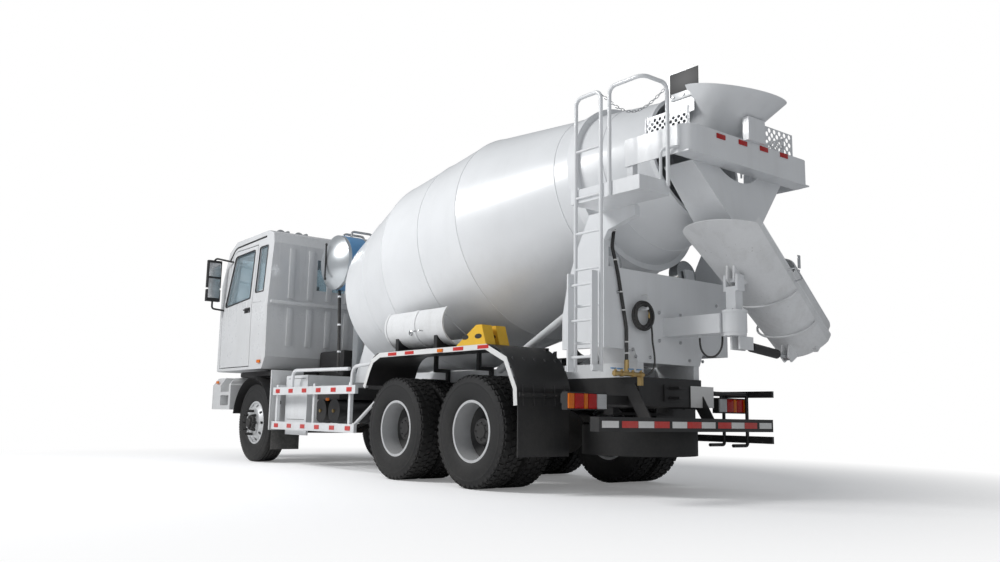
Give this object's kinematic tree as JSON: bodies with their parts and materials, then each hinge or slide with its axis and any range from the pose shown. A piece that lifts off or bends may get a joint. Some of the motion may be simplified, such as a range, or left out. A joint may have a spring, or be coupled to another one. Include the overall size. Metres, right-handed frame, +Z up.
{
  "type": "concrete mixer truck",
  "caption": "Three-axle cab-over truck with a turning mixer drum, charging hopper, discharge funnel and a swivelling, lifting, folding chute.",
  "frame": {"origin": "on the ground, midway along the truck's length and on its centre line", "axes": "+X forward, +Y to the driver's left, +Z up"},
  "size_m": [9.43, 3.08, 3.8242],
  "materials": {
    "white_paint": "gloss",
    "chassis_black": "satin",
    "wheel_silver": "satin",
    "tyre_rubber": "matte",
    "black_rubber": "matte",
    "cast_metal": "matte",
    "brushed_tank": "satin",
    "lamp_lens": "gloss",
    "clear_glass": "gloss",
    "cab_plastic": "matte",
    "yellow_plastic": "satin",
    "brass": "satin",
    "polished_steel": "gloss"
  },
  "bodies": {
    "chassis": {"chassis_frame": "chassis_black", "mixer_subframe": "white_paint", "driveline": "cast_metal", "front_axle": "cast_metal", "rear_axles": "cast_metal", "front_bumper": "white_paint", "lamps": "lamp_lens", "side_cabinet": "white_paint", "air_tanks": "chassis_black", "fuel_tank": "brushed_tank", "side_guards": "white_paint", "rear_mudguards": "chassis_black", "underrun_bar": "chassis_black", "spare_wheel": "tyre_rubber", "drum_gearbox": "cast_metal", "rear_pedestal": "white_paint", "water_tank": "brushed_tank", "platform": "white_paint", "charge_hopper": "white_paint", "discharge_funnel": "white_paint", "rear_crossbar": "white_paint", "stowed_chute": "white_paint", "wheel_chocks": "yellow_plastic", "water_hose": "black_rubber", "wash_hose_coil": "black_rubber", "wash_hose_tail": "black_rubber", "chute_hose": "black_rubber", "wash_manifold": "brass"},
    "knuckle_left": {"knuckle_left": "cast_metal"},
    "knuckle_right": {"knuckle_right": "cast_metal"},
    "front_wheel_left": {"front_tyre_left": "tyre_rubber", "front_rim_left": "wheel_silver"},
    "front_wheel_right": {"front_tyre_right": "tyre_rubber", "front_rim_right": "wheel_silver"},
    "mid_wheels_left": {"mid_tyres_left": "tyre_rubber", "mid_rims_left": "wheel_silver"},
    "mid_wheels_right": {"mid_tyres_right": "tyre_rubber", "mid_rims_right": "wheel_silver"},
    "rear_wheels_left": {"rear_tyres_left": "tyre_rubber", "rear_rims_left": "wheel_silver"},
    "rear_wheels_right": {"rear_tyres_right": "tyre_rubber", "rear_rims_right": "wheel_silver"},
    "drum": {"drum": "white_paint"},
    "roller_left": {"roller_left": "cast_metal"},
    "roller_right": {"roller_right": "cast_metal"},
    "cab": {"cab_shell": "white_paint", "cab_glass": "clear_glass", "cab_interior": "cab_plastic"},
    "door_left": {"door_left": "white_paint", "door_glass_left": "clear_glass", "mirror_left": "cab_plastic"},
    "door_right": {"door_right": "white_paint", "door_glass_right": "clear_glass", "mirror_right": "cab_plastic"},
    "turntable": {"chute_turntable": "white_paint"},
    "main_chute": {"main_chute": "white_paint"},
    "fold_chute": {"fold_chute": "white_paint"},
    "lift_barrel": {"lift_barrel": "chassis_black"},
    "lift_rod": {"lift_rod": "polished_steel"},
    "folding_ladder": {"folding_ladder": "white_paint"}
  },
  "joints": [
    {"name": "steer_left", "type": "hinge", "parent": "chassis", "child": "knuckle_left", "pos_m": [3.125, 0.812, 0.5425], "axis": [0, 0, 1], "range_deg": [-35, 35]},
    {"name": "steer_right", "type": "hinge", "parent": "chassis", "child": "knuckle_right", "pos_m": [3.125, -0.812, 0.5425], "axis": [0, 0, 1], "range_deg": [-35, 35]},
    {"name": "front_spin_left", "type": "hinge", "parent": "knuckle_left", "child": "front_wheel_left", "pos_m": [3.125, 1.025, 0.5425], "axis": [0, 1, 0], "continuous": true},
    {"name": "mid_spin_left", "type": "hinge", "parent": "chassis", "child": "mid_wheels_left", "pos_m": [-0.715, 0.93, 0.5425], "axis": [0, 1, 0], "continuous": true},
    {"name": "rear_spin_left", "type": "hinge", "parent": "chassis", "child": "rear_wheels_left", "pos_m": [-2.065, 0.93, 0.5425], "axis": [0, 1, 0], "continuous": true},
    {"name": "front_spin_right", "type": "hinge", "parent": "knuckle_right", "child": "front_wheel_right", "pos_m": [3.125, -1.025, 0.5425], "axis": [0, 1, 0], "continuous": true},
    {"name": "mid_spin_right", "type": "hinge", "parent": "chassis", "child": "mid_wheels_right", "pos_m": [-0.715, -0.93, 0.5425], "axis": [0, 1, 0], "continuous": true},
    {"name": "rear_spin_right", "type": "hinge", "parent": "chassis", "child": "rear_wheels_right", "pos_m": [-2.065, -0.93, 0.5425], "axis": [0, 1, 0], "continuous": true},
    {"name": "drum_spin", "type": "hinge", "parent": "chassis", "child": "drum", "pos_m": [-2.065, 0, 2.75], "axis": [0.9833, 0, -0.1822], "continuous": true},
    {"name": "roller_spin_left", "type": "hinge", "parent": "chassis", "child": "roller_left", "pos_m": [-3.20944, 0.53936, 2.11743], "axis": [0.9833, 0, -0.1822], "continuous": true},
    {"name": "roller_spin_right", "type": "hinge", "parent": "chassis", "child": "roller_right", "pos_m": [-3.20944, -0.53936, 2.11743], "axis": [0.9833, 0, -0.1822], "continuous": true},
    {"name": "cab_tilt", "type": "hinge", "parent": "chassis", "child": "cab", "pos_m": [4.435, 0, 0.9], "axis": [0, 1, 0], "range_deg": [0, 55]},
    {"name": "door_left_hinge", "type": "hinge", "parent": "cab", "child": "door_left", "pos_m": [4.343, 1.244, 2.2], "axis": [0, 0, -1], "range_deg": [0, 70]},
    {"name": "door_right_hinge", "type": "hinge", "parent": "cab", "child": "door_right", "pos_m": [4.343, -1.244, 2.2], "axis": [0, 0, 1], "range_deg": [0, 70]},
    {"name": "chute_swivel", "type": "hinge", "parent": "chassis", "child": "turntable", "pos_m": [-4.225, 0, 1.525], "axis": [0, 0, -1], "range_deg": [0, 180]},
    {"name": "chute_lift", "type": "hinge", "parent": "turntable", "child": "main_chute", "pos_m": [-4.225, 0, 1.9], "axis": [-1, 0, 0], "range_deg": [-10, 14]},
    {"name": "chute_unfold", "type": "hinge", "parent": "main_chute", "child": "fold_chute", "pos_m": [-4.225, -1.06921, 1.47538], "axis": [1, 0, 0], "range_deg": [0, 180]},
    {"name": "cylinder_swing", "type": "hinge", "parent": "turntable", "child": "lift_barrel", "pos_m": [-4.225, -0.15, 1.335], "axis": [-1, 0, 0], "range_deg": [-14.2, 19.3]},
    {"name": "cylinder_slide", "type": "slide", "parent": "lift_barrel", "child": "lift_rod", "axis": [0, -0.9951, -0.0988], "range_m": [-0.0989, 0.1369]},
    {"name": "ladder_fold", "type": "hinge", "parent": "chassis", "child": "folding_ladder", "pos_m": [-3.695, 1.34, 1.09], "axis": [-1, 0, 0], "range_deg": [0, 178]}
  ],
  "couplings": [
    {"joint": "steer_right", "follows": "steer_left", "ratio": 1},
    {"joint": "roller_spin_left", "follows": "drum_spin", "ratio": -6.0714},
    {"joint": "roller_spin_right", "follows": "drum_spin", "ratio": -6.0714},
    {"joint": "cylinder_swing", "follows": "chute_lift", "ratio": 1.2715},
    {"joint": "cylinder_slide", "follows": "chute_lift", "m_per_rad": 0.54381}
  ]
}
